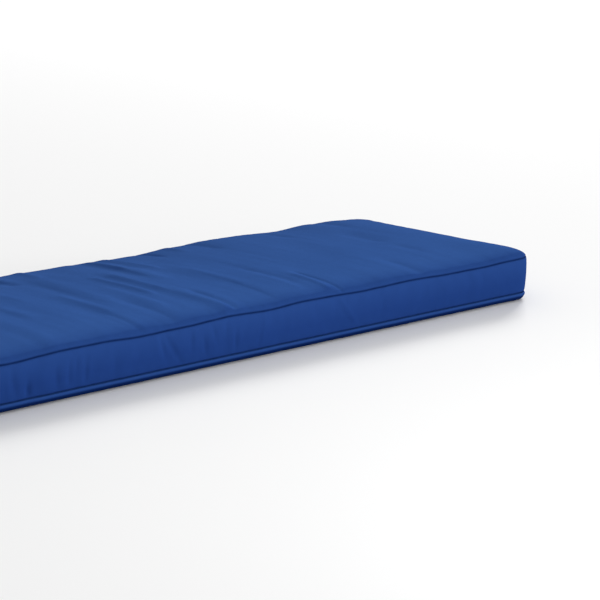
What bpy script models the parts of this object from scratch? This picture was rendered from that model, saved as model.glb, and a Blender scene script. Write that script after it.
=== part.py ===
"""A long box-edge bench cushion: a filled body with its top panel, a boxing band and a bottom panel.

It lies on its back on a flat surface. Metres, +Z up. The origin is under the middle of the
cushion, X runs along its length and Y from its front edge to its back edge. Two plain sewn seams
run round it, and at each of them the cloth is drawn in between the stuffed faces.
"""

from collections import namedtuple
from math import cos, exp, hypot, pi, radians, sin

import bmesh
import bpy

# Driving sizes.
LENGTH = 1.400
DEPTH = 0.407
CORNER_RADIUS = 0.040
LOW_SEAM = 0.0145
HIGH_SEAM = 0.0728
CLOTH = 0.0018
GAP = 0.0003

# How the faces swell between the seams and are drawn in at them.
SEAM_DRAW = 0.0022
EDGE_ROLL = 0.0022
EDGE_ROLL_REACH = 0.0020
CROWN_RISE = 0.0128
CROWN_REACH = 0.0150
CENTRE_RISE = 0.0045
CORNER_DROOP = 0.0020
CORNER_REACH = 0.045
SIDE_PULL = 0.0015
END_PULL = 0.0025
SEAM_SHARE = 0.5
SHARP_ANGLE = radians(40)
CONTACT_INSET = 0.0105

# The grid of the top panel. Its outer rows and columns follow the rolled edge.
EDGE_STEPS = (0.0, 0.0018, 0.0048, 0.0100, 0.0175, 0.0270, 0.0385)
INNER_COLUMNS = 98
INNER_ROWS = 14

CLOTH_BLUE = (0.026, 0.076, 0.265, 1.0)
CLOTH_ROUGHNESS = 0.85

# A soft trough (depth below 0) or ridge across the top panel, from one end to the other.
Crease = namedtuple("Crease", "x0 y0 x1 y1 bend half_width depth")
CREASES = (
    Crease(0.004, 0.165, -0.004, 0.025, 0.000, 0.012, -0.0032),
    Crease(0.024, 0.160, 0.016, 0.015, 0.000, 0.012, 0.0028),
    Crease(0.056, 0.150, 0.060, 0.075, 0.000, 0.012, 0.0012),
    Crease(-0.054, 0.045, -0.044, -0.170, 0.000, 0.012, -0.0022),
    Crease(-0.033, 0.050, -0.013, -0.190, 0.009, 0.012, 0.0026),
    Crease(-0.086, 0.020, -0.084, -0.060, 0.000, 0.012, -0.0012),
    Crease(-0.069, 0.045, -0.065, -0.055, 0.000, 0.012, 0.0014),
    Crease(-0.100, -0.030, -0.098, -0.120, 0.000, 0.012, 0.0012),
    Crease(-0.130, -0.100, -0.128, -0.165, 0.000, 0.012, -0.0020),
    Crease(-0.111, -0.095, -0.111, -0.160, 0.000, 0.012, 0.0012),
    Crease(-0.163, 0.080, -0.171, -0.055, 0.002, 0.013, -0.0030),
    Crease(-0.144, 0.080, -0.150, -0.060, 0.002, 0.012, 0.0022),
    Crease(-0.205, -0.045, -0.206, -0.180, 0.000, 0.012, -0.0016),
    Crease(-0.187, -0.030, -0.186, -0.175, 0.000, 0.012, 0.0024),
    Crease(-0.322, 0.010, -0.330, -0.150, 0.002, 0.016, -0.0020),
    Crease(-0.372, -0.150, -0.382, -0.200, 0.000, 0.012, -0.0014),
    Crease(-0.470, 0.090, -0.482, -0.080, 0.004, 0.014, -0.0018),
    Crease(-0.560, -0.060, -0.548, -0.180, -0.004, 0.012, -0.0016),
    Crease(0.078, -0.060, 0.080, -0.175, 0.000, 0.012, -0.0016),
    Crease(0.089, 0.015, 0.094, -0.130, 0.000, 0.012, 0.0018),
    Crease(0.136, -0.120, 0.135, -0.170, 0.000, 0.012, -0.0010),
    Crease(0.160, -0.020, 0.168, -0.145, 0.000, 0.012, -0.0022),
    Crease(0.199, -0.115, 0.202, -0.185, 0.000, 0.012, 0.0018),
    Crease(0.221, -0.140, 0.223, -0.190, 0.000, 0.012, -0.0018),
    Crease(0.127, 0.170, 0.127, 0.135, 0.000, 0.012, -0.0014),
    Crease(0.239, 0.165, 0.239, 0.115, 0.000, 0.012, -0.0014),
    Crease(0.400, 0.155, 0.404, 0.115, 0.000, 0.012, -0.0012),
    Crease(0.398, -0.105, 0.406, -0.195, 0.000, 0.012, -0.0018),
    Crease(0.504, -0.065, 0.508, -0.092, 0.000, 0.012, -0.0012),
    Crease(0.512, 0.055, 0.508, -0.010, 0.000, 0.018, -0.0016),
    Crease(0.520, -0.150, 0.522, -0.190, 0.000, 0.012, -0.0012),
    Crease(0.556, 0.165, 0.556, 0.115, 0.000, 0.016, -0.0016),
)

# A broad low hump (height above 0) or hollow of the filling under the top panel.
Hump = namedtuple("Hump", "x y reach_x reach_y height")
HUMPS = (
    Hump(-0.590, 0.050, 0.090, 0.120, 0.0010),
    Hump(-0.430, 0.120, 0.070, 0.110, -0.0012),
    Hump(-0.330, -0.080, 0.090, 0.090, -0.0010),
    Hump(-0.250, 0.130, 0.080, 0.100, 0.0012),
    Hump(-0.120, -0.130, 0.070, 0.070, 0.0010),
    Hump(-0.075, 0.170, 0.070, 0.080, -0.0010),
    Hump(0.110, 0.165, 0.060, 0.080, -0.0008),
    Hump(0.150, -0.120, 0.080, 0.080, 0.0012),
    Hump(0.295, 0.130, 0.080, 0.110, 0.0034),
    Hump(0.535, 0.165, 0.075, 0.070, 0.0036),
    Hump(0.668, 0.120, 0.050, 0.105, -0.0056),
    Hump(0.676, -0.060, 0.050, 0.080, -0.0026),
)

# How far the top seam stands above or below its mean height, along the front and the back.
SeamRise = namedtuple("SeamRise", "x front back")
SEAM_RISES = (
    SeamRise(-0.700, 0.0010, 0.0008),
    SeamRise(-0.620, -0.0012, 0.0012),
    SeamRise(-0.540, 0.0006, -0.0010),
    SeamRise(-0.440, -0.0034, 0.0008),
    SeamRise(-0.340, 0.0004, 0.0014),
    SeamRise(-0.270, 0.0004, -0.0012),
    SeamRise(-0.200, -0.0022, -0.0014),
    SeamRise(-0.110, -0.0012, 0.0006),
    SeamRise(-0.020, 0.0014, 0.0008),
    SeamRise(0.060, -0.0010, -0.0014),
    SeamRise(0.135, 0.0020, -0.0010),
    SeamRise(0.200, 0.0010, 0.0010),
    SeamRise(0.270, -0.0005, 0.0016),
    SeamRise(0.380, 0.0016, 0.0014),
    SeamRise(0.470, -0.0006, -0.0012),
    SeamRise(0.560, -0.0008, 0.0004),
    SeamRise(0.630, 0.0010, 0.0010),
    SeamRise(0.700, 0.0022, 0.0006),
)

# A soft upright pucker in the boxing: its place along a side, its slant up the band, and its
# depth at the low and at the high seam.
Pucker = namedtuple("Pucker", "side at slant half_width low high")
PUCKERS = (
    Pucker("front", -0.612, 0.004, 0.014, -0.0014, -0.0006),
    Pucker("front", -0.540, -0.006, 0.012, -0.0010, -0.0010),
    Pucker("front", -0.468, 0.000, 0.014, -0.0008, -0.0012),
    Pucker("front", -0.398, 0.008, 0.010, -0.0026, -0.0010),
    Pucker("front", -0.380, 0.008, 0.012, 0.0012, 0.0006),
    Pucker("front", -0.322, 0.004, 0.010, -0.0016, 0.0000),
    Pucker("front", -0.288, 0.004, 0.010, -0.0016, 0.0000),
    Pucker("front", -0.252, 0.002, 0.010, -0.0014, 0.0000),
    Pucker("front", -0.150, 0.004, 0.014, -0.0006, -0.0014),
    Pucker("front", -0.075, 0.004, 0.012, -0.0006, -0.0016),
    Pucker("front", -0.030, 0.004, 0.012, -0.0012, -0.0012),
    Pucker("front", 0.085, 0.002, 0.014, -0.0016, -0.0006),
    Pucker("front", 0.190, 0.000, 0.016, -0.0006, -0.0012),
    Pucker("front", 0.300, -0.012, 0.012, -0.0004, -0.0018),
    Pucker("front", 0.430, 0.002, 0.016, -0.0010, -0.0010),
    Pucker("front", 0.520, 0.002, 0.014, -0.0004, -0.0012),
    Pucker("front", 0.600, 0.004, 0.014, -0.0012, -0.0006),
    Pucker("right", -0.120, 0.004, 0.014, -0.0012, -0.0010),
    Pucker("right", -0.030, -0.004, 0.014, -0.0008, -0.0014),
    Pucker("right", 0.085, 0.004, 0.014, -0.0014, -0.0006),
    Pucker("back", -0.560, 0.004, 0.014, -0.0012, -0.0010),
    Pucker("back", -0.410, -0.004, 0.014, -0.0014, -0.0004),
    Pucker("back", -0.290, 0.006, 0.012, -0.0006, -0.0016),
    Pucker("back", -0.130, 0.000, 0.014, -0.0014, -0.0008),
    Pucker("back", 0.040, -0.004, 0.012, -0.0010, -0.0014),
    Pucker("back", 0.170, 0.004, 0.014, -0.0012, -0.0004),
    Pucker("back", 0.330, 0.002, 0.014, -0.0006, -0.0014),
    Pucker("back", 0.500, -0.004, 0.012, -0.0014, -0.0010),
    Pucker("back", 0.610, 0.004, 0.014, -0.0010, -0.0006),
    Pucker("left", -0.110, -0.004, 0.014, -0.0012, -0.0008),
    Pucker("left", 0.000, 0.004, 0.014, -0.0008, -0.0012),
    Pucker("left", 0.100, 0.000, 0.014, -0.0012, -0.0010),
)

# A loop of the boxing's outer face: how far up the band it is and how far it is drawn in.
BandLoop = namedtuple("BandLoop", "up draw")
BAND_OUTER = (
    BandLoop(0.0, SEAM_DRAW),
    BandLoop(0.10, 0.0006),
    BandLoop(0.50, 0.0),
    BandLoop(0.90, 0.0006),
    BandLoop(1.0, SEAM_DRAW),
)
BAND_INNER = (
    BandLoop(0.0, SEAM_DRAW + CLOTH),
    BandLoop(0.50, CLOTH),
    BandLoop(1.0, SEAM_DRAW + CLOTH),
)

# A loop of the bottom panel: how far in from the cushion's outline it is, and its height.
PanelLoop = namedtuple("PanelLoop", "inset z")
PANEL_OUTER = (
    PanelLoop(SEAM_DRAW, LOW_SEAM - GAP / 2),
    PanelLoop(0.0012, 0.0095),
    PanelLoop(0.0030, 0.0030),
    PanelLoop(CONTACT_INSET, 0.0),
)
PANEL_INNER = (
    PanelLoop(CONTACT_INSET, CLOTH),
    PanelLoop(SEAM_DRAW + CLOTH, 0.0060),
    PanelLoop(SEAM_DRAW + CLOTH, LOW_SEAM - GAP / 2),
)

# A point of the seam line, its outward direction, the side it is on and its place along that side.
Station = namedtuple("Station", "x y nx ny side at")


def clear_scene():
    for thing in list(bpy.data.objects):
        bpy.data.objects.remove(thing, do_unlink=True)


def blend(start, end, share):
    return start + (end - start) * share


def ease(share):
    share = min(max(share, 0.0), 1.0)
    return share * share * (3 - 2 * share)


def bell(distance, reach):
    return exp(-((distance / reach) ** 2))


def grid_lines(half, inner_count):
    """Places of the top panel's grid lines along one direction, close together at its two edges."""
    edge = [half - step for step in EDGE_STEPS]
    inner_half = edge.pop()
    inner = [inner_half * (2 * k / inner_count - 1) for k in range(inner_count + 1)]
    return [-place for place in edge] + inner + edge[::-1]


def round_corner(x, y, half_x, half_y, radius):
    """Moves a point of a square-cornered plan into the plan with round corners."""
    across = (abs(x) - (half_x - radius)) / radius
    along = (abs(y) - (half_y - radius)) / radius
    if across <= 0 or along <= 0:
        return x, y
    turn = pi / 4 * along / across if across >= along else pi / 2 - pi / 4 * across / along
    reach = radius * max(across, along)
    new_x = half_x - radius + reach * cos(turn)
    new_y = half_y - radius + reach * sin(turn)
    return (new_x if x > 0 else -new_x), (new_y if y > 0 else -new_y)


def inset_of(x, y, half_x, half_y, radius):
    """How far inside the round-cornered plan a point lies, square to its nearest edge."""
    over_x = abs(x) - (half_x - radius)
    over_y = abs(y) - (half_y - radius)
    outside = hypot(max(over_x, 0.0), max(over_y, 0.0))
    return radius - outside - min(max(over_x, over_y), 0.0)


def seam_rise(x, y):
    """How far the top seam, carried across the panel, stands above its mean height."""
    rows = SEAM_RISES
    x = min(max(x, rows[0].x), rows[-1].x)
    for low, high in zip(rows, rows[1:]):
        if x <= high.x:
            break
    share = ease((x - low.x) / (high.x - low.x))
    front = blend(low.front, high.front, share)
    back = blend(low.back, high.back, share)
    return blend(front, back, (y / DEPTH) + 0.5)


def crease_depth(x, y):
    """The sum of the creases at one point of the top panel."""
    total = 0.0
    for row in CREASES:
        run_x = row.x1 - row.x0
        run_y = row.y1 - row.y0
        length = hypot(run_x, run_y)
        along = ((x - row.x0) * run_x + (y - row.y0) * run_y) / length**2
        aside = ((x - row.x0) * run_y - (y - row.y0) * run_x) / length
        aside -= row.bend * sin(pi * min(max(along, 0.0), 1.0))
        past = max(-along, along - 1, 0.0) * length
        total += row.depth * bell(aside, row.half_width) * bell(past, 2 * row.half_width)
    return total


def hump_height(x, y):
    return sum(
        row.height * bell(x - row.x, row.reach_x) * bell(y - row.y, row.reach_y) for row in HUMPS
    )


def top_height(x, y, half_x, half_y, radius):
    """Height of the top panel above the seam plane at one point of its plan."""
    inset = inset_of(x, y, half_x, half_y, radius)
    rise = EDGE_ROLL * (1 - exp(-inset / EDGE_ROLL_REACH))
    rise += CROWN_RISE * (1 - exp(-inset / CROWN_REACH))
    rise += CENTRE_RISE * (1 - (1 - inset / half_y) ** 2)
    to_corner = hypot(half_x - abs(x), half_y - abs(y))
    rise -= CORNER_DROOP * bell(to_corner, CORNER_REACH) * (1 - exp(-inset / CROWN_REACH))
    inside = 1 - exp(-inset / CROWN_REACH)
    rise += inside * (crease_depth(x, y) + hump_height(x, y))
    return HIGH_SEAM + GAP / 2 + seam_rise(x, y) + rise


def pull_in(x, y):
    """The sides are drawn in between the corners, most at the middle of each."""
    new_y = y * (1 - SIDE_PULL / (DEPTH / 2) * (1 - (2 * x / LENGTH) ** 2))
    new_x = x * (1 - END_PULL / (LENGTH / 2) * (1 - (2 * y / DEPTH) ** 2))
    return new_x, new_y


def top_plan():
    """The grid of plan points of the top panel, out to the seam."""
    half_x = LENGTH / 2 - SEAM_DRAW
    half_y = DEPTH / 2 - SEAM_DRAW
    radius = CORNER_RADIUS - SEAM_DRAW
    columns = grid_lines(half_x, INNER_COLUMNS)
    rows = grid_lines(half_y, INNER_ROWS)
    plan = [[round_corner(x, y, half_x, half_y, radius) for y in rows] for x in columns]
    return plan, (half_x, half_y, radius)


def edge_places(plan):
    """Grid places round the plan's edge, once round from the front left corner."""
    last_x = len(plan) - 1
    last_y = len(plan[0]) - 1
    front = [(i, 0) for i in range(last_x)]
    right = [(last_x, j) for j in range(last_y)]
    back = [(i, last_y) for i in range(last_x, 0, -1)]
    left = [(0, j) for j in range(last_y, 0, -1)]
    return front + right + back + left


def stations(plan, size):
    """Points round the seam line with their outward directions and the side that each is on."""
    half_x, half_y, radius = size
    found = []
    for i, j in edge_places(plan):
        x, y = plan[i][j]
        core_x = min(max(x, radius - half_x), half_x - radius)
        core_y = min(max(y, radius - half_y), half_y - radius)
        nx = (x - core_x) / radius
        ny = (y - core_y) / radius
        if abs(ny) >= abs(nx):
            found.append(Station(x, y, nx, ny, "front" if ny < 0 else "back", x))
        else:
            found.append(Station(x, y, nx, ny, "right" if nx > 0 else "left", y))
    return found


def pucker_inset(station, up):
    """How far the puckers draw the boxing in at one station and one height of the band."""
    total = 0.0
    for row in PUCKERS:
        if row.side != station.side:
            continue
        place = row.at + row.slant * (up - 0.5)
        total -= blend(row.low, row.high, up) * bell(station.at - place, row.half_width)
    at_seam = up in (0.0, 1.0)
    return total * (SEAM_SHARE if at_seam else 1.0)


def offset_point(station, inset, z):
    """A point square in from the cushion's outermost outline at one station."""
    out = SEAM_DRAW - inset
    x, y = pull_in(station.x + station.nx * out, station.y + station.ny * out)
    return x, y, z


def band_loop(ring, up, draw, lift=0.0):
    """One loop of the boxing between the two seams, with its puckers."""
    points = []
    for station in ring:
        high = HIGH_SEAM + seam_rise(station.x, station.y) - GAP / 2
        z = blend(LOW_SEAM + GAP / 2, high, up) + lift
        points.append(offset_point(station, draw + pucker_inset(station, up), z))
    return points


def panel_loop(ring, inset, z):
    """One loop of the bottom panel's turned-up edge, which meets the puckered seam at its top."""
    share = z / LOW_SEAM
    return [offset_point(s, inset + share * pucker_inset(s, 0.0), z) for s in ring]


def add_loop(mesh, points):
    return [mesh.verts.new(point) for point in points]


def join_loops(mesh, loops):
    """Triangles from each loop to the next, all facing the same way round the section.

    Each pair is split from the higher loop down to the next station of the lower one, so that
    two puckered walls that lie against each other are split alike and stay apart.
    """
    for near, far in zip(loops, loops[1:]):
        for k, (a, b) in enumerate(zip(near, far)):
            after = (k + 1) % len(near)
            c, d = far[after], near[after]
            if a.co.z >= b.co.z:
                mesh.faces.new((a, b, c))
                mesh.faces.new((a, c, d))
            else:
                mesh.faces.new((a, b, d))
                mesh.faces.new((b, c, d))


def cloth_material(name):
    material = bpy.data.materials.new(name)
    material.use_nodes = True
    shader = material.node_tree.nodes["Principled BSDF"]
    shader.inputs["Base Color"].default_value = CLOTH_BLUE
    shader.inputs["Roughness"].default_value = CLOTH_ROUGHNESS
    shader.inputs["Metallic"].default_value = 0.0
    return material


def finish_object(name, mesh):
    data = bpy.data.meshes.new(name)
    mesh.to_mesh(data)
    mesh.free()
    data.shade_smooth()
    data.set_sharp_from_angle(angle=SHARP_ANGLE)
    data.materials.append(cloth_material(name + "_cloth"))
    thing = bpy.data.objects.new(name, data)
    bpy.context.collection.objects.link(thing)
    return thing


def make_cushion_body(plan, size, ring):
    """The filled body. Its crowned upper face is the top panel, down to the top seam."""
    mesh = bmesh.new()
    grid = []
    for column in plan:
        heights = [top_height(x, y, *size) for x, y in column]
        grid.append([mesh.verts.new((*pull_in(x, y), z)) for (x, y), z in zip(column, heights)])
    for near, far in zip(grid, grid[1:]):
        for j in range(len(near) - 1):
            mesh.faces.new((near[j], far[j], far[j + 1], near[j + 1]))
    edge = [grid[i][j] for i, j in edge_places(plan)]
    for vertex, station in zip(edge, ring):
        vertex.co = offset_point(station, SEAM_DRAW + pucker_inset(station, 1.0), vertex.co.z)
    loops = [edge]
    for row in reversed(BAND_INNER):
        lift = GAP if row.up == 1.0 else 0.0
        loops.append(add_loop(mesh, band_loop(ring, row.up, row.draw + GAP, lift)))
    for row in reversed(PANEL_INNER[:2]):
        loops.append(add_loop(mesh, panel_loop(ring, row.inset + GAP, row.z + GAP)))
    join_loops(mesh, loops)
    mesh.faces.new(reversed(loops[-1]))
    return finish_object("cushion_body", mesh)


def make_boxing(ring):
    """The band of cloth round the side, a closed loop between the two seams."""
    mesh = bmesh.new()
    outer = [add_loop(mesh, band_loop(ring, row.up, row.draw)) for row in reversed(BAND_OUTER)]
    inner = [add_loop(mesh, band_loop(ring, row.up, row.draw)) for row in BAND_INNER]
    join_loops(mesh, outer + inner + outer[:1])
    return finish_object("boxing", mesh)


def make_bottom_panel(ring):
    """The bottom panel: flat where it rests, its edge turned up to the low seam."""
    mesh = bmesh.new()
    inner = [add_loop(mesh, panel_loop(ring, row.inset, row.z)) for row in PANEL_INNER]
    outer = [add_loop(mesh, panel_loop(ring, row.inset, row.z)) for row in PANEL_OUTER]
    loops = inner + outer
    join_loops(mesh, loops)
    mesh.faces.new(loops[0])
    mesh.faces.new(reversed(loops[-1]))
    return finish_object("bottom_panel", mesh)


def main():
    clear_scene()
    plan, size = top_plan()
    ring = stations(plan, size)
    make_cushion_body(plan, size, ring)
    make_boxing(ring)
    make_bottom_panel(ring)


main()
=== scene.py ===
"""The looks of a long box-edge bench cushion: sewn canvas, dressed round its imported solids.

The filled body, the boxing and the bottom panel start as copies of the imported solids. They are
refined, plumped up by pressure, creased and puckered, and covered in one woven canvas. Metres,
+Z up. X runs along the cushion and Y from its front edge to its back edge.
"""

from collections import namedtuple
from math import cos, hypot, pi, radians, sin

import bmesh
import bpy
import numpy as np
from bpy.props import FloatProperty, FloatVectorProperty, PointerProperty
from bpy.types import Operator, Panel, PropertyGroup
from mathutils import Matrix, Vector, noise


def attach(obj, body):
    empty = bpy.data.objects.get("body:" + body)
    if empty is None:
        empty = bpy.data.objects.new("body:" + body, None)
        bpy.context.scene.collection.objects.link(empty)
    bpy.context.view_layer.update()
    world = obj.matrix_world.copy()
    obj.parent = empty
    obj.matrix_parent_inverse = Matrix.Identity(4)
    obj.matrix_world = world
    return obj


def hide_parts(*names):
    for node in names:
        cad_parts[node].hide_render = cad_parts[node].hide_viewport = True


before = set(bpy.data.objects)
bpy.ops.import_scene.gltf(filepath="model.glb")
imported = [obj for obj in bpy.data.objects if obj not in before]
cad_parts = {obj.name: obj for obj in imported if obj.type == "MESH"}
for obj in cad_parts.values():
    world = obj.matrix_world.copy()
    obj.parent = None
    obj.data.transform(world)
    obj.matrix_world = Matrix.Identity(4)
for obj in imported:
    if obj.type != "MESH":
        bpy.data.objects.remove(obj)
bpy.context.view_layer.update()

BODY = "root"
CLOTH_MAP = "cloth_map"
# The painted shade in the seams' grooves and the painted shadow where the cloth turns under.
SHADE_ATTRIBUTE = "painted_shade"

bl_info = {
    "name": "Bench Cushion",
    "version": (1, 0, 0),
    "blender": (4, 5, 0),
    "location": "3D View > Sidebar > Cushion",
    "description": "Dresses a long box-edge bench cushion in sewn canvas",
    "category": "Object",
}

# The cushion's plan before its sides are drawn in between the corners.
HALF_LENGTH = 0.700
HALF_DEPTH = 0.2035
CORNER_RADIUS = 0.040
SIDE_PULL = 0.0015
END_PULL = 0.0025
STRAIGHT_X = HALF_LENGTH - CORNER_RADIUS
STRAIGHT_Y = HALF_DEPTH - CORNER_RADIUS
QUARTER = CORNER_RADIUS * pi / 2
OUTLINE = 4 * (STRAIGHT_X + STRAIGHT_Y + QUARTER)
TURN_SLACK = 1e-4

# Where each side's middle lies on the way round the outline, from the front's left end, and
# which way the way round runs there.
SIDES = {
    "front": (STRAIGHT_X, 1),
    "right": (2 * STRAIGHT_X + QUARTER + STRAIGHT_Y, 1),
    "back": (3 * STRAIGHT_X + 2 * QUARTER + 2 * STRAIGHT_Y, -1),
    "left": (4 * STRAIGHT_X + 3 * QUARTER + 3 * STRAIGHT_Y, -1),
}

# How a solid's loose triangles are joined up again, and how steep the boxing's rim is.
MERGE_GAP = 0.00002
QUAD_BEND = radians(60)
QUAD_SKEW = radians(70)
RIM_TILT = 0.4

# The plumping of the filled body. The seam holds the cloth up to the held reach, the cloth is
# free past a further stretch, and the filling under it holds it a little everywhere. The top
# panel starts a little lower, because pressure swells it.
SETTLE_STEPS = 20
SETTLE_QUALITY = 6
HELD_REACH = 0.002
FREE_REACH = 0.016
FILLING_HOLD = 0.3
HOLD_STIFFNESS = 0.2
WEIGHT_STEPS = 20
DEFLATE = 0.0008
CLOTH_MASS = 0.3
CLOTH_STRETCH = 80.0
CLOTH_SHEAR = 26.0
CLOTH_BENDING = 5.0

# How far the filled body is drawn in behind the boxing, where it doesn't show.
TUCK_BEHIND = 0.0025

# A soft fold across the top panel. It runs from (x0, y0) to (x1, y1) and bows by bend towards +X;
# left and right are the widths of its two flanks, and a height below 0 makes it a trough.
Fold = namedtuple("Fold", "x0 y0 x1 y1 bend left right height")
FOLDS = (
    Fold(-0.450, 0.090, -0.338, -0.012, 0.000, 0.014, 0.016, 0.0027),
    Fold(-0.308, -0.020, -0.303, -0.070, 0.000, 0.009, 0.012, 0.0014),
    Fold(-0.366, 0.150, -0.266, 0.055, 0.000, 0.014, 0.018, 0.0028),
    Fold(-0.256, 0.045, -0.252, 0.005, 0.000, 0.008, 0.010, 0.0008),
    Fold(-0.210, 0.158, -0.188, 0.108, 0.000, 0.014, 0.010, -0.0030),
    Fold(-0.208, -0.140, -0.206, -0.190, 0.000, 0.020, 0.007, 0.0012),
    Fold(0.017, 0.158, 0.014, 0.085, 0.000, 0.007, 0.005, 0.0011),
    Fold(0.014, 0.080, 0.009, 0.025, 0.000, 0.006, 0.005, 0.0004),
    Fold(0.034, 0.165, 0.034, 0.080, 0.000, 0.008, 0.008, -0.0013),
    Fold(0.052, 0.165, 0.060, 0.060, 0.000, 0.010, 0.007, 0.0018),
    Fold(-0.035, 0.040, -0.0355, -0.060, -0.001, 0.012, 0.0045, 0.0014),
    Fold(-0.0355, -0.060, -0.014, -0.184, -0.003, 0.008, 0.0045, 0.0004),
    Fold(-0.007, -0.110, -0.005, -0.180, 0.000, 0.006, 0.010, -0.0024),
    Fold(-0.069, 0.040, -0.065, -0.065, 0.000, 0.009, 0.005, 0.0019),
    Fold(-0.099, -0.020, -0.097, -0.120, 0.000, 0.016, 0.006, 0.0008),
    Fold(-0.130, -0.110, -0.126, -0.170, 0.000, 0.005, 0.006, -0.0004),
    Fold(-0.121, 0.170, -0.127, 0.120, 0.000, 0.009, 0.009, 0.0018),
    Fold(-0.180, 0.170, -0.184, 0.135, 0.000, 0.014, 0.014, 0.0022),
    Fold(-0.146, 0.080, -0.150, -0.055, -0.001, 0.006, 0.010, -0.0003),
    Fold(-0.174, 0.055, -0.178, -0.010, 0.000, 0.016, 0.007, 0.0006),
    Fold(-0.188, -0.020, -0.186, -0.110, 0.000, 0.006, 0.009, 0.0006),
    Fold(0.089, -0.010, 0.093, -0.095, 0.000, 0.007, 0.008, 0.0006),
    Fold(0.083, -0.105, 0.084, -0.165, 0.000, 0.005, 0.005, -0.0004),
    Fold(0.139, 0.170, 0.139, 0.135, 0.000, 0.006, 0.006, -0.0018),
    Fold(0.148, -0.095, 0.152, -0.160, 0.000, 0.008, 0.005, 0.0004),
    Fold(0.164, -0.050, 0.167, -0.135, 0.000, 0.006, 0.009, -0.0010),
    Fold(0.190, 0.170, 0.187, 0.130, 0.000, 0.010, 0.010, 0.0018),
    Fold(0.197, -0.125, 0.202, -0.180, 0.000, 0.008, 0.006, 0.0015),
    Fold(0.214, -0.115, 0.221, -0.192, 0.000, 0.005, 0.006, -0.0021),
    Fold(0.239, 0.165, 0.239, 0.110, 0.000, 0.012, 0.012, -0.0016),
    Fold(0.402, 0.155, 0.404, 0.110, 0.000, 0.012, 0.012, -0.0014),
    Fold(0.404, -0.140, 0.411, -0.190, 0.000, 0.010, 0.010, -0.0014),
    Fold(0.506, -0.062, 0.508, -0.092, 0.000, 0.012, 0.012, -0.0012),
    Fold(0.514, 0.050, 0.510, -0.005, 0.000, 0.022, 0.022, -0.0022),
    Fold(0.558, 0.165, 0.558, 0.118, 0.000, 0.014, 0.014, -0.0016),
)

# Folds fade out over this distance past their ends and towards the seams.
FOLD_FADE = 0.014

# How far from the cushion's middle the columns of faces are halved, for the narrow folds there.
FINE_REACH = 0.27
BAND_FINE_REACH = 0.47

# A soft tuck in the boxing: its place along a side, how far up the band its middle is, its slant
# from the low to the high seam, its half width, its reach up the band, and how far it draws in.
Tuck = namedtuple("Tuck", "side at up slant half_width reach depth")
TUCKS = (
    Tuck("front", -0.449, 0.20, 0.000, 0.007, 0.30, 0.0016),
    Tuck("front", -0.431, 0.40, -0.012, 0.007, 0.50, 0.0022),
    Tuck("front", -0.406, 0.17, 0.000, 0.005, 0.20, 0.0058),
    Tuck("front", -0.356, 0.30, 0.000, 0.005, 0.30, 0.0018),
    Tuck("front", -0.334, 0.30, 0.004, 0.005, 0.35, 0.0020),
    Tuck("front", -0.320, 0.60, 0.004, 0.005, 0.20, 0.0012),
    Tuck("front", -0.303, 0.25, 0.002, 0.005, 0.35, 0.0026),
    Tuck("front", -0.250, 0.30, 0.000, 0.008, 0.35, 0.0014),
    Tuck("front", -0.158, 0.60, -0.020, 0.005, 0.25, 0.0020),
    Tuck("front", -0.136, 0.45, -0.040, 0.005, 0.40, 0.0026),
    Tuck("front", -0.101, 0.60, 0.000, 0.005, 0.25, 0.0016),
    Tuck("front", -0.073, 0.35, -0.010, 0.005, 0.25, 0.0018),
    Tuck("front", -0.056, 0.70, -0.020, 0.005, 0.25, 0.0018),
    Tuck("front", -0.031, 0.75, 0.000, 0.005, 0.20, 0.0014),
    Tuck("front", -0.011, 0.30, 0.000, 0.005, 0.30, 0.0022),
    Tuck("front", 0.039, 0.35, 0.010, 0.005, 0.30, 0.0016),
    Tuck("front", 0.183, 0.75, 0.000, 0.012, 0.30, -0.0012),
    Tuck("front", 0.234, 0.50, -0.053, 0.005, 0.35, -0.0024),
    Tuck("front", 0.313, 0.40, 0.010, 0.007, 0.30, 0.0014),
    Tuck("front", 0.560, 0.60, -0.020, 0.010, 0.30, 0.0012),
)

# Fine streaks and broad patches where the cloth lies uneven over the filling: how many a metre
# along the cushion and across it, how the streaks lean, and where each starts in the noise.
STREAKS_ACROSS = 48.0
STREAKS_ALONG = 7.0
STREAK_LEAN = 0.10
STREAK_START = 1.7
PATCHES_ACROSS = 16.0
PATCHES_ALONG = 9.0
PATCH_START = 4.2

# The boxing's streaks: how many a metre round it, and how often they change from seam to seam.
BAND_STREAKS = 52.0
BAND_STREAK_RISE = 2.5
BAND_STREAK_START = 8.1

# The gathers along the seams: how many a metre, and how far from the seam they reach and change.
GATHERS = 60.0
GATHER_REACH = 0.026
GATHER_SPREAD = 30.0
GATHER_START = 5.3
BAND_GATHER_RISE = 2.0
BAND_GATHER_START = 2.9

# How high the roll of the bottom panel's edge lies, and how far it reaches up and down.
ROLL_HEIGHT = 0.0105
ROLL_REACH = 0.0028

# The canvas: slubs a metre along and across their thread, clouds a metre in its dye, how much of
# the deep shade the weave, the slubs and the clouds bring, and how rough and raised it is.
SLUBS_ALONG = 18.0
SLUBS_ACROSS = 700.0
CLOUDS = 9.0
CLOUD_DETAIL = 3.0
WEAVE_SHARE = 0.25
SLUB_SHARE = 0.15
CLOUD_SHARE = 0.15
PAINTED_SHADE_SHARE = 0.9
CANVAS_ROUGHNESS = 0.86
CANVAS_RELIEF = 0.4

# Painted light where the canvas faces up or lies high: how far up it faces for the painted sheen,
# how high over the floor the painted light from above starts and how fast it grows, and how fast the
# painted sheen of the back edge takes over. The roll under the low seam gets a painted highlight too.
SHEEN_START = 0.90
SHEEN_SHARE = 0.65
UPPER_LIGHT_HEIGHT = 0.035
UPPER_LIGHT_RISE = 7.0
BACK_SHEEN_RISE = 2.5
ROLL_HIGHLIGHT_HEIGHT = 0.0125
ROLL_HIGHLIGHT_REACH = 0.0035
ROLL_HIGHLIGHT_SHARE = 0.45
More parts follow.
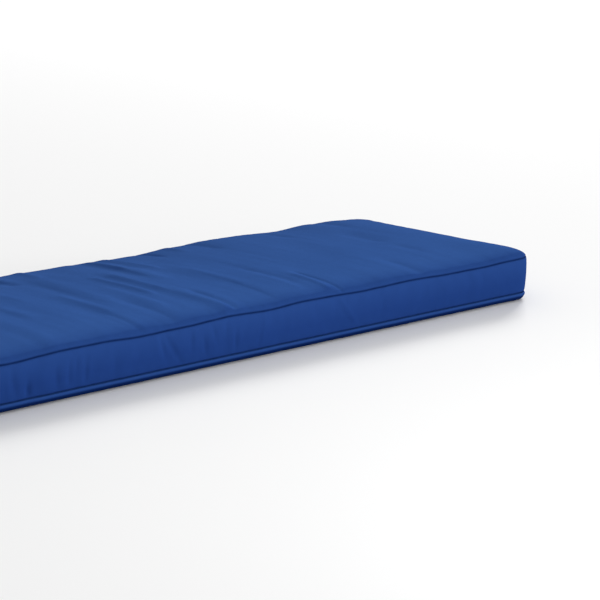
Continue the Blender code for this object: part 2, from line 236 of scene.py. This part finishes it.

# How dark the low seam's shade is beside the high one, and how dark the painted shadow is where
# the cloth turns under to the floor: from what height down, how soon, and how far in under the
# cushion.
LOW_SEAM_SHADE = 0.60
CONTACT_SHADE = 0.88
CONTACT_HEIGHT = 0.0105
CONTACT_REACH = 0.0036
CONTACT_DEPTH = 0.020

# The camera stands in front of the cushion's left half and looks along its front edge.
CAMERA_PLACE = (-2.328, -2.525, 0.845)
CAMERA_YAW = radians(46.53)
CAMERA_PITCH = radians(12.79)
CAMERA_ROLL = radians(1.94)
CAMERA_LENS = 137.2
CAMERA_SENSOR = 36.0
CAMERA_REACH = 100.0

# A soft box of light: where it stands, its width and height, and its power.
Softbox = namedtuple("Softbox", "name place width height watts")
SOFTBOXES = (
    Softbox("key_light", (18.0, 10.8, 9.7), 6.3, 6.3, 3560.0),
    Softbox("side_light", (17.0, -12.2, 3.4), 5.0, 5.0, 2340.0),
    Softbox("fill_light", (0.15, -1.7, 0.50), 0.8, 0.5, 6.2),
)
LIGHT_AIM = (0.05, 0.0, 0.05)
SKY_STRENGTH = 0.56
FLOOR_SIZE = 60.0


def ease(share):
    share = np.clip(share, 0.0, 1.0)
    return share * share * (3 - 2 * share)


def bell(distance, reach):
    return np.exp(-((distance / reach) ** 2))


# Places on the cushion.


def flat_plan(points):
    """Plan places as they are before the sides are drawn in between the corners."""
    x, y = points[:, 0], points[:, 1]
    flat_x = x / (1 - END_PULL / HALF_LENGTH * (1 - (y / HALF_DEPTH) ** 2))
    flat_y = y / (1 - SIDE_PULL / HALF_DEPTH * (1 - (x / HALF_LENGTH) ** 2))
    return np.stack([flat_x, flat_y], 1)


def inset_of(points):
    """How far inside the cushion's outline each point lies, square to its nearest edge."""
    over = np.abs(flat_plan(points)) - (STRAIGHT_X, STRAIGHT_Y)
    outside = np.hypot(*np.maximum(over, 0.0).T)
    return CORNER_RADIUS - outside - np.minimum(over.max(1), 0.0)


def outward_of(points):
    """The level direction that points out of the nearest edge."""
    plan = flat_plan(points)
    over = np.abs(plan) - (STRAIGHT_X, STRAIGHT_Y)
    away = np.sign(plan) * np.maximum(over, 0.0)
    inner = np.flatnonzero(over.max(1) <= 0)
    nearest = over.argmax(1)[inner]
    away[inner, nearest] = np.sign(plan[inner, nearest])
    return away / np.maximum(np.hypot(*away.T), 1e-9)[:, None]


def place_round(points):
    """How far round the outline each point's nearest edge is, from the front's left end."""
    plan = flat_plan(points)
    out = outward_of(points)
    core_x = np.clip(plan[:, 0], -STRAIGHT_X, STRAIGHT_X)
    core_y = np.clip(plan[:, 1], -STRAIGHT_Y, STRAIGHT_Y)
    turn = (np.arctan2(out[:, 1], out[:, 0]) + pi / 2) % (2 * pi)
    turn[turn > 2 * pi - TURN_SLACK] = 0.0
    going = STRAIGHT_X + core_x + STRAIGHT_Y + core_y
    coming = 2 * STRAIGHT_X + 2 * STRAIGHT_Y + STRAIGHT_X - core_x + STRAIGHT_Y - core_y
    return CORNER_RADIUS * turn + np.where(turn < pi / 2 + TURN_SLACK, going, coming)


class SeamLine:
    """One seam round the cushion, as the outer rim of the boxing has it."""

    def __init__(self, rim):
        rim = rim[np.argsort(place_round(rim))]
        self.place = place_round(rim)
        self.inset = inset_of(rim)
        self.height = rim[:, 2]

    def height_at(self, points):
        return np.interp(place_round(points), self.place, self.height, period=OUTLINE)

    def distance(self, points):
        """How far each point lies from the seam, in the upright section through it."""
        inset = np.interp(place_round(points), self.place, self.inset, period=OUTLINE)
        return np.hypot(inset_of(points) - inset, points[:, 2] - self.height_at(points))


# Meshes.


def numbers_of(items, name, width):
    values = np.empty(len(items) * width, np.float32)
    items.foreach_get(name, values)
    return values.reshape(-1, width).astype(float)


def counts_of(items, name):
    values = np.empty(len(items), np.int32)
    items.foreach_get(name, values)
    return values


def points_of(piece):
    return numbers_of(piece.data.vertices, "co", 3)


def place_points(piece, points):
    piece.data.vertices.foreach_set("co", points.astype(np.float32).ravel())
    piece.data.update()


def select_only(piece):
    bpy.ops.object.select_all(action="DESELECT")
    piece.select_set(True)
    bpy.context.view_layer.objects.active = piece


def copy_solid(node, name):
    """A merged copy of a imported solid, its loose triangles joined up into four-sided faces."""
    piece = bpy.data.objects.new(name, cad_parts[node].data.copy())
    bpy.context.scene.collection.objects.link(piece)
    select_only(piece)
    bpy.ops.object.mode_set(mode="EDIT")
    bpy.ops.mesh.select_all(action="SELECT")
    bpy.ops.mesh.remove_doubles(threshold=MERGE_GAP)
    bpy.ops.mesh.tris_convert_to_quads(face_threshold=QUAD_BEND, shape_threshold=QUAD_SKEW)
    bpy.ops.object.mode_set(mode="OBJECT")
    piece.data.materials.clear()
    return piece


def refine(piece, levels):
    select_only(piece)
    smooth = piece.modifiers.new("Smooth", "SUBSURF")
    smooth.levels = levels
    smooth.render_levels = levels
    bpy.ops.object.modifier_apply(modifier=smooth.name)


def refine_across(piece, reach):
    """Halves the columns of faces across the cushion, no further than reach from its middle."""
    mesh = bmesh.new()
    mesh.from_mesh(piece.data)
    chosen = []
    for edge in mesh.edges:
        run = edge.verts[1].co - edge.verts[0].co
        middle = (edge.verts[0].co.x + edge.verts[1].co.x) / 2
        if abs(run.x) > hypot(run.y, run.z) and abs(middle) < reach:
            chosen.append(edge)
    bmesh.ops.subdivide_edges(mesh, edges=chosen, cuts=1)
    mesh.to_mesh(piece.data)
    mesh.free()


def seam_lines():
    """The low and the high seam, read from the rim of the boxing."""
    band = copy_solid("boxing", "rim_guide")
    points = points_of(band)
    normals = numbers_of(band.data.vertices, "normal", 3)
    outer = (normals[:, :2] * outward_of(points)).sum(1) > 0
    low = SeamLine(points[outer & (normals[:, 2] < -RIM_TILT)])
    high = SeamLine(points[outer & (normals[:, 2] > RIM_TILT)])
    bpy.data.objects.remove(band)
    return low, high


def paint_shade(piece, shade):
    """Keeps the painted shade at each point: the shadow in a seam's groove, and on the bottom panel
    also the painted shadow where the cloth turns under to the floor.
    """
    layer = piece.data.attributes.new(SHADE_ATTRIBUTE, "FLOAT", "POINT")
    layer.data.foreach_set("value", shade.astype(np.float32))


def lay_map(piece, across, along, round_it=None):
    """The cloth map: where each face corner lies on the flat cut, in metres."""
    mesh = piece.data
    layer = mesh.uv_layers.new(name=CLOTH_MAP)
    corner = counts_of(mesh.loops, "vertex_index")
    flat = np.stack([across[corner], along[corner]], 1)
    if round_it:
        start = counts_of(mesh.polygons, "loop_start")
        count = counts_of(mesh.polygons, "loop_total")
        first = np.repeat(flat[start, 0], count)
        flat[:, 0] += round_it * np.round((first - flat[:, 0]) / round_it)
    layer.uv.foreach_set("vector", flat.astype(np.float32).ravel())


def finish_piece(piece, node, material):
    select_only(piece)
    bpy.ops.object.shade_smooth()
    piece.data.materials.append(material)
    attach(piece, BODY)
    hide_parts(node)


# The forms of the cloth.


def noise_along(first, second, seed):
    """Smooth uneven values from about -1 to 1 over two directions."""
    return np.array([noise.noise(Vector((a, b, seed))) for a, b in zip(first, second)])


def plump(body, free, sizes):
    """Lets pressure fill the top panel out from a slightly lower start, within a cap."""
    start = points_of(body)
    start[:, 2] -= DEFLATE * free
    place_points(body, start)
    held = body.vertex_groups.new(name="held")
    step = np.round((1 - free * (1 - FILLING_HOLD)) * WEIGHT_STEPS).astype(int)
    for level in range(1, WEIGHT_STEPS + 1):
        held.add(np.flatnonzero(step == level).tolist(), level / WEIGHT_STEPS, "REPLACE")
    select_only(body)
    cloth = body.modifiers.new("Plump", "CLOTH")
    cloth.settings.vertex_group_mass = held.name
    cloth.settings.pin_stiffness = HOLD_STIFFNESS
    cloth.settings.use_pressure = True
    cloth.settings.uniform_pressure_force = sizes.pressure
    cloth.settings.effector_weights.gravity = 0.0
    cloth.settings.quality = SETTLE_QUALITY
    cloth.settings.mass = CLOTH_MASS
    cloth.settings.tension_stiffness = CLOTH_STRETCH
    cloth.settings.compression_stiffness = CLOTH_STRETCH
    cloth.settings.shear_stiffness = CLOTH_SHEAR
    cloth.settings.bending_stiffness = CLOTH_BENDING
    cloth.collision_settings.use_collision = False
    cloth.collision_settings.use_self_collision = False
    cloth.point_cache.frame_end = SETTLE_STEPS
    scene = bpy.context.scene
    for step in range(1, SETTLE_STEPS + 1):
        scene.frame_set(step)
    bpy.ops.object.modifier_apply(modifier=cloth.name)
    scene.frame_set(1)
    moved = points_of(body) - start
    far = np.linalg.norm(moved, axis=1)
    capped = np.minimum(1.0, sizes.plump_cap / np.maximum(far, 1e-9))
    place_points(body, start + moved * capped[:, None])
    body.vertex_groups.clear()


def fold_height(points):
    """The sum of the folds at each point of the top panel."""
    x, y = points[:, 0], points[:, 1]
    total = np.zeros(len(points))
    for row in FOLDS:
        run = np.array((row.x1 - row.x0, row.y1 - row.y0))
        length = np.hypot(*run)
        along = ((x - row.x0) * run[0] + (y - row.y0) * run[1]) / length**2
        aside = ((y - row.y0) * run[0] - (x - row.x0) * run[1]) / length
        aside -= row.bend * np.sin(pi * np.clip(along, 0.0, 1.0))
        past = np.maximum(np.maximum(-along, along - 1), 0.0) * length
        width = np.where(aside < 0, row.left, row.right)
        total += row.height * bell(aside, width) * bell(past, FOLD_FADE)
    return total


def tuck_depth(place, up):
    """How far the tucks draw the boxing in, round the outline and up the band."""
    total = np.zeros(len(place))
    for row in TUCKS:
        middle, way = SIDES[row.side]
        centre = middle + way * (row.at + row.slant * (up - row.up))
        total += row.depth * bell(place - centre, row.half_width) * bell(up - row.up, row.reach)
    return total


# The cloth's finish.


class Wire:
    """An output of a node. Arithmetic on it adds Math nodes."""

    def __init__(self, finish, socket):
        self.finish = finish
        self.socket = socket

    def math(self, operation, first, second=None):
        values = {0: first} if second is None else {0: first, 1: second}
        return self.finish.add("ShaderNodeMath", {"operation": operation}, values)

    def __add__(self, other):
        return self.math("ADD", self, other)

    def __sub__(self, other):
        return self.math("SUBTRACT", self, other)

    def __rsub__(self, other):
        return self.math("SUBTRACT", other, self)

    def __mul__(self, other):
        return self.math("MULTIPLY", self, other)

    def __truediv__(self, other):
        return self.math("DIVIDE", self, other)

    __radd__ = __add__
    __rmul__ = __mul__

    def floor(self):
        return self.math("FLOOR", self)

    def size(self):
        return self.math("ABSOLUTE", self)

    def wave(self, operation):
        return self.math(operation, self * pi)

    def most(self, other):
        return self.math("MAXIMUM", self, other)


class Finish:
    """A material, and the one method that makes its nodes."""

    def __init__(self, name):
        self.material = bpy.data.materials.new(name)
        self.material.use_nodes = True
        self.tree = self.material.node_tree
        self.shader = self.tree.nodes["Principled BSDF"]

    def fill(self, node, values):
        for name, value in values.items():
            if isinstance(value, Wire):
                self.tree.links.new(value.socket, node.inputs[name])
            else:
                node.inputs[name].default_value = value

    def add(self, kind, settings, values, output=0):
        node = self.tree.nodes.new(kind)
        for name, value in settings.items():
            setattr(node, name, value)
        self.fill(node, values)
        return Wire(self, node.outputs[output])

    def mix(self, share, start, end):
        settings = {"data_type": "RGBA"}
        values = {0: share, 6: start, 7: end}
        return self.add("ShaderNodeMix", settings, values, output=2)

    def speckle(self, place, scale, detail=2.0):
        """Even noise from 0 to 1."""
        values = {"Vector": place, "Scale": scale, "Detail": detail}
        return self.add("ShaderNodeTexNoise", {}, values)


def plain_weave(across, along):
    """The height of a plain weave: each thread passes over one and under the next."""
    warp = across.wave("SINE").size() * (
        0.5 + 0.5 * (along - 0.5 + across.floor()).wave("COSINE")
    )
    weft = along.wave("SINE").size() * (
        0.5 - 0.5 * (across - 0.5 + along.floor()).wave("COSINE")
    )
    return warp.most(weft)


def canvas(name, sizes, colours):
    """The cover's woven canvas, with its threads, its uneven dye, painted sheen and light where it
    faces up, lies high or lies towards the back, a painted highlight on the roll under the low seam,
    and painted shade in its seams and where it turns under.
    """
    finish = Finish(name)
    place = finish.add("ShaderNodeUVMap", {"uv_map": CLOTH_MAP}, {})
    across = finish.add("ShaderNodeSeparateXYZ", {}, {0: place}, output="X")
    along = finish.add("ShaderNodeSeparateXYZ", {}, {0: place}, output="Y")
    threads_x = across / sizes.warp_pitch
    threads_y = along / sizes.weft_pitch
    weave = plain_weave(threads_x, threads_y)

    long_x = {0: across * SLUBS_ALONG, 1: along * SLUBS_ACROSS}
    long_y = {0: across * SLUBS_ACROSS, 1: along * SLUBS_ALONG}
    weft_slubs = finish.speckle(finish.add("ShaderNodeCombineXYZ", {}, long_x), 1.0)
    warp_slubs = finish.speckle(finish.add("ShaderNodeCombineXYZ", {}, long_y), 1.0)
    slubs = weft_slubs * 0.5 + warp_slubs * 0.5
    cloudy = finish.speckle(place, CLOUDS, CLOUD_DETAIL)
    facing = finish.add("ShaderNodeNewGeometry", {}, {}, output="Normal")
    upward = finish.add("ShaderNodeSeparateXYZ", {}, {0: facing}, output="Z")
    where = finish.add("ShaderNodeTexCoord", {}, {}, output="Object")
    depth = finish.add("ShaderNodeSeparateXYZ", {}, {0: where}, output="Y")
    height = finish.add("ShaderNodeSeparateXYZ", {}, {0: where}, output="Z")
    # Painted sheen and light: the canvas is mixed towards the lit colours where it faces up.
    flat = ((upward - SHEEN_START) / (1 - SHEEN_START)).most(0.0)
    # Painted highlight along the roll under the low seam.
    roll_highlight = (1 - ((height - ROLL_HIGHLIGHT_HEIGHT) / ROLL_HIGHLIGHT_REACH).size()).most(0.0)
    # Painted light from above: the canvas is lighter the higher it lies over the floor.
    painted_light = flat * SHEEN_SHARE + ((height - UPPER_LIGHT_HEIGHT) * UPPER_LIGHT_RISE).most(0.0)
    painted_light = painted_light + roll_highlight * ROLL_HIGHLIGHT_SHARE
    # Painted sheen: the lit colour turns greyer towards the back edge.
    back_sheen = finish.mix(depth * BACK_SHEEN_RISE + 0.5, (*colours.lit, 1), (*colours.back_sheen, 1))
    lit_colour = finish.mix(painted_light, (*colours.canvas, 1), back_sheen)
    shade = (1 - weave) * WEAVE_SHARE + slubs * SLUB_SHARE + cloudy * CLOUD_SHARE
    hidden = finish.mix(shade, lit_colour, (*colours.deep, 1))
    # Painted shade in the seams' grooves and painted shadow where the cloth turns under.
    shade_mask = finish.add("ShaderNodeAttribute", {"attribute_name": SHADE_ATTRIBUTE}, {}, output="Fac")
    shaded = finish.mix(shade_mask * PAINTED_SHADE_SHARE, hidden, (*colours.seam, 1))
    bump = finish.add(
        "ShaderNodeBump",
        {},
        {"Strength": CANVAS_RELIEF, "Distance": sizes.weave_depth, "Height": weave},
    )
    finish.fill(
        finish.shader,
        {
            "Base Color": shaded,
            "Roughness": CANVAS_ROUGHNESS,
            "Specular IOR Level": 0.0,
            "Normal": bump,
        },
    )
    return finish.material


def cover_material(context):
    """The one canvas that all the panels share."""
    found = bpy.data.materials.get("cover_canvas")
    scene = context.scene
    return found or canvas("cover_canvas", scene.cushion_sizes, scene.cushion_colours)


# What a user may change.


class CushionSizes(PropertyGroup):
    pressure: FloatProperty(
        name="Filling pressure",
        description="How hard the filling presses the top panel out",
        default=4.0,
        min=0.0,
    )
    plump_cap: FloatProperty(
        name="Most plumping",
        description="The furthest that a point of the top panel may swell",
        default=0.004,
        unit="LENGTH",
    )
    fold_share: FloatProperty(
        name="Folds",
        description="How deep the top panel's folds are, 1 as modelled",
        default=1.0,
        subtype="FACTOR",
    )
    streak_depth: FloatProperty(
        name="Streak depth",
        description="Depth of the fine unevenness of the cloth over the filling",
        default=0.0004,
        unit="LENGTH",
    )
    patch_depth: FloatProperty(
        name="Patch depth",
        description="Depth of the broad soft unevenness of the filling",
        default=0.0012,
        unit="LENGTH",
    )
    band_depth: FloatProperty(
        name="Boxing depth",
        description="Depth of the soft unevenness of the boxing",
        default=0.0011,
        unit="LENGTH",
    )
    gather_depth: FloatProperty(
        name="Gather depth",
        description="Depth of the small gathers along the seams",
        default=0.0007,
        unit="LENGTH",
    )
    roll_depth: FloatProperty(
        name="Edge roll",
        description="How far the bottom panel's edge rolls out under the low seam",
        default=0.0011,
        unit="LENGTH",
    )
    seam_reach: FloatProperty(
        name="Seam shadow",
        description="How far the shadow of a seam reaches from its groove",
        default=0.0016,
        unit="LENGTH",
    )
    warp_pitch: FloatProperty(
        name="Warp pitch",
        description="Distance between the threads that run across the cushion",
        default=0.0006,
        unit="LENGTH",
    )
    weft_pitch: FloatProperty(
        name="Weft pitch",
        description="Distance between the threads that run along the cushion",
        default=0.0008,
        unit="LENGTH",
    )
    weave_depth: FloatProperty(
        name="Weave depth",
        description="Height of a thread over the one it crosses",
        default=0.0002,
        unit="LENGTH",
    )
    fill: FloatProperty(
        name="Fill",
        description="How tightly the cushion is filled, from 0 slack to 1 tight",
        default=0.7,
        min=0.0,
        max=1.0,
        subtype="FACTOR",
    )


class CushionColours(PropertyGroup):
    canvas: FloatVectorProperty(
        name="Canvas",
        description="The canvas where it stands upright or faces down",
        default=(0.0117, 0.0411, 0.189),
        subtype="COLOR",
    )
    # Painted sheen and light: the lighter canvas where it faces up or lies high.
    lit: FloatVectorProperty(
        name="Lit",
        description="The canvas where it faces up and the light has faded it",
        default=(0.0382, 0.1090, 0.348),
        subtype="COLOR",
    )
    # Painted sheen: the lit canvas, greyer towards the back edge.
    back_sheen: FloatVectorProperty(
        name="Sheen",
        description="The faded canvas towards the cushion's back edge",
        default=(0.0412, 0.1070, 0.325),
        subtype="COLOR",
    )
    deep: FloatVectorProperty(
        name="Deep",
        description="The deeper shade between the threads",
        default=(0.0155, 0.0445, 0.163),
        subtype="COLOR",
    )
    # Also the colour of the painted shadow where the cloth turns under to the floor.
    seam: FloatVectorProperty(
        name="Seam",
        description="The shade in the groove of a seam",
        default=(0.000, 0.004, 0.040),
        subtype="COLOR",
    )
    floor: FloatVectorProperty(
        name="Floor",
        description="The plain floor under the cushion",
        default=(0.90, 0.90, 0.90),
        subtype="COLOR",
    )


# The operators.


class CUSHION_OT_filled_body(Operator):
    """Makes the filled body, whose crowned upper face is the top panel"""

    bl_idname = "cushion.filled_body"
    bl_label = "Filled Body"
    bl_options = {"REGISTER", "UNDO"}

    def execute(self, context):
        sizes = context.scene.cushion_sizes
        seam = seam_lines()[1]
        body = copy_solid("cushion_body", "filled_body")
        refine(body, 1)
        points = points_of(body)
        above = points[:, 2] > seam.height_at(points)
        free = above * ease((seam.distance(points) - HELD_REACH) / FREE_REACH)
        plump(body, free, sizes)
        refine(body, 1)
        refine_across(body, FINE_REACH)
        self.crease(body, seam, sizes)
        points = points_of(body)
        paint_shade(body, bell(seam.distance(points), sizes.seam_reach))
        plan = flat_plan(points)
        lay_map(body, plan[:, 0], plan[:, 1])
        finish_piece(body, "cushion_body", cover_material(context))
        return {"FINISHED"}

    @staticmethod
    def crease(body, seam, sizes):
        """Folds, streaks and gathers on the top panel; the hidden side is drawn in."""
        points = points_of(body)
        x, y = points[:, 0], points[:, 1]
        away = seam.distance(points)
        below = seam.height_at(points) - points[:, 2]
        inside = (below < 0) * (1 - np.exp(-away / FOLD_FADE))
        rise = sizes.fold_share * fold_height(points)
        leaning = (x + STREAK_LEAN * y) * STREAKS_ACROSS
        rise += sizes.streak_depth * noise_along(leaning, y * STREAKS_ALONG, STREAK_START)
        patches = noise_along(x * PATCHES_ACROSS, y * PATCHES_ALONG, PATCH_START)
        rise += sizes.patch_depth * patches
        place = place_round(points) * GATHERS
        gathers = noise_along(place, away * GATHER_SPREAD, GATHER_START)
        gathers *= bell(away, GATHER_REACH)
        points[:, 2] += inside * rise + (below < 0) * sizes.gather_depth * gathers
        tucked = TUCK_BEHIND * ease(below / FREE_REACH)
        points[:, :2] -= outward_of(points) * tucked[:, None]
        place_points(body, points)


class CUSHION_OT_boxing(Operator):
    """Makes the boxing, the band of cloth round the side between the two seams"""

    bl_idname = "cushion.boxing"
    bl_label = "Boxing"
    bl_options = {"REGISTER", "UNDO"}

    def execute(self, context):
        sizes = context.scene.cushion_sizes
        low, high = seam_lines()
        band = copy_solid("boxing", "boxing_band")
        refine(band, 2)
        refine_across(band, BAND_FINE_REACH)
        points = points_of(band)
        place = place_round(points)
        bottom = low.height_at(points)
        up = (points[:, 2] - bottom) / (high.height_at(points) - bottom)
        from_low = low.distance(points)
        from_high = high.distance(points)
        away = np.minimum(from_low, from_high)
        hold = 1 - np.exp(-away / FOLD_FADE)
        streaks = noise_along(place * BAND_STREAKS, up * BAND_STREAK_RISE, BAND_STREAK_START)
        draw = hold * (tuck_depth(place, up) + sizes.band_depth * streaks)
        gathers = noise_along(place * GATHERS, up * BAND_GATHER_RISE, BAND_GATHER_START)
        draw += sizes.gather_depth * gathers * bell(away, GATHER_REACH)
        points[:, :2] -= outward_of(points) * draw[:, None]
        place_points(band, points)
        shade = np.maximum(
            LOW_SEAM_SHADE * bell(from_low, sizes.seam_reach),
            bell(from_high, sizes.seam_reach),
        )
        paint_shade(band, shade)
        lay_map(band, place, points[:, 2], OUTLINE)
        finish_piece(band, "boxing", cover_material(context))
        return {"FINISHED"}


class CUSHION_OT_bottom_panel(Operator):
    """Makes the bottom panel, whose edge turns up to the low seam"""

    bl_idname = "cushion.bottom_panel"
    bl_label = "Bottom Panel"
    bl_options = {"REGISTER", "UNDO"}

    def execute(self, context):
        sizes = context.scene.cushion_sizes
        low = seam_lines()[0]
        panel = copy_solid("bottom_panel", "bottom_cloth")
        refine(panel, 2)
        points = points_of(panel)
        roll = sizes.roll_depth * bell(points[:, 2] - ROLL_HEIGHT, ROLL_REACH)
        points[:, :2] += outward_of(points) * roll[:, None]
        place_points(panel, points)
        # Painted shadow: the cloth is darkened where it turns under to the floor.
        contact = CONTACT_SHADE * ease((CONTACT_HEIGHT - points[:, 2]) / CONTACT_REACH)
        contact *= bell(inset_of(points), CONTACT_DEPTH)
        shade = LOW_SEAM_SHADE * bell(low.distance(points), sizes.seam_reach)
        paint_shade(panel, np.maximum(shade, contact))
        unrolled = flat_plan(points) + outward_of(points) * points[:, 2:]
        lay_map(panel, unrolled[:, 0], unrolled[:, 1])
        finish_piece(panel, "bottom_panel", cover_material(context))
        return {"FINISHED"}


class CUSHION_OT_stage(Operator):
    """Makes the plain floor, the soft light and the camera"""

    bl_idname = "cushion.stage"
    bl_label = "Stage"
    bl_options = {"REGISTER", "UNDO"}

    def execute(self, context):
        self.lay_floor(context.scene.cushion_colours)
        self.light_sky(context.scene)
        for row in SOFTBOXES:
            self.hang_softbox(row)
        self.stand_camera(context.scene)
        context.scene.view_settings.view_transform = "Standard"
        return {"FINISHED"}

    @staticmethod
    def lay_floor(colours):
        bpy.ops.object.select_all(action="DESELECT")
        bpy.ops.mesh.primitive_plane_add(size=FLOOR_SIZE)
        floor = bpy.context.active_object
        floor.name = "floor"
        finish = Finish("plain_floor")
        finish.fill(finish.shader, {"Base Color": (*colours.floor, 1), "Roughness": 0.9})
        floor.data.materials.append(finish.material)

    @staticmethod
    def light_sky(scene):
        scene.world = bpy.data.worlds.new("studio_sky")
        scene.world.use_nodes = True
        sky = scene.world.node_tree.nodes["Background"]
        sky.inputs["Color"].default_value = (1, 1, 1, 1)
        sky.inputs["Strength"].default_value = SKY_STRENGTH

    @staticmethod
    def hang_softbox(row):
        bpy.ops.object.light_add(type="AREA", location=row.place)
        lamp = bpy.context.active_object
        lamp.name = row.name
        lamp.data.shape = "RECTANGLE"
        lamp.data.size = row.width
        lamp.data.size_y = row.height
        lamp.data.energy = row.watts
        toward = Vector(LIGHT_AIM) - Vector(row.place)
        lamp.rotation_euler = toward.to_track_quat("-Z", "Y").to_euler()

    @staticmethod
    def stand_camera(scene):
        """Yaw is from +Y towards +X, pitch is down from level, and roll is about the line of sight."""
        level = cos(CAMERA_PITCH)
        ahead = Vector((sin(CAMERA_YAW) * level, cos(CAMERA_YAW) * level, -sin(CAMERA_PITCH)))
        right = Vector((cos(CAMERA_YAW), -sin(CAMERA_YAW), 0))
        above = right.cross(ahead)
        rolled_right = right * cos(CAMERA_ROLL) + above * sin(CAMERA_ROLL)
        rolled_above = above * cos(CAMERA_ROLL) - right * sin(CAMERA_ROLL)
        turned = Matrix((rolled_right, rolled_above, -ahead)).transposed().to_4x4()
        bpy.ops.object.camera_add()
        camera = bpy.context.active_object
        camera.matrix_world = Matrix.Translation(CAMERA_PLACE) @ turned
        camera.data.lens = CAMERA_LENS
        camera.data.sensor_width = CAMERA_SENSOR
        camera.data.clip_end = CAMERA_REACH
        scene.camera = camera


class CUSHION_PT_looks(Panel):
    """Lists the cushion's sizes, colours and pieces"""

    bl_label = "Bench Cushion"
    bl_idname = "CUSHION_PT_looks"
    bl_space_type = "VIEW_3D"
    bl_region_type = "UI"
    bl_category = "Cushion"

    def draw(self, context):
        for group in (context.scene.cushion_sizes, context.scene.cushion_colours):
            for name in group.__annotations__:
                self.layout.prop(group, name)
        for operator in OPERATORS:
            self.layout.operator(operator.bl_idname)


OPERATORS = (
    CUSHION_OT_filled_body,
    CUSHION_OT_boxing,
    CUSHION_OT_bottom_panel,
    CUSHION_OT_stage,
)
CLASSES = (CushionSizes, CushionColours, *OPERATORS, CUSHION_PT_looks)


def register():
    for item in CLASSES:
        bpy.utils.register_class(item)
    bpy.types.Scene.cushion_sizes = PointerProperty(type=CushionSizes)
    bpy.types.Scene.cushion_colours = PointerProperty(type=CushionColours)


def unregister():
    del bpy.types.Scene.cushion_colours
    del bpy.types.Scene.cushion_sizes
    for item in reversed(CLASSES):
        bpy.utils.unregister_class(item)


def main():
    register()
    bpy.ops.cushion.filled_body()
    bpy.ops.cushion.boxing()
    bpy.ops.cushion.bottom_panel()
    bpy.ops.cushion.stage()


if __name__ == "__main__":
    main()
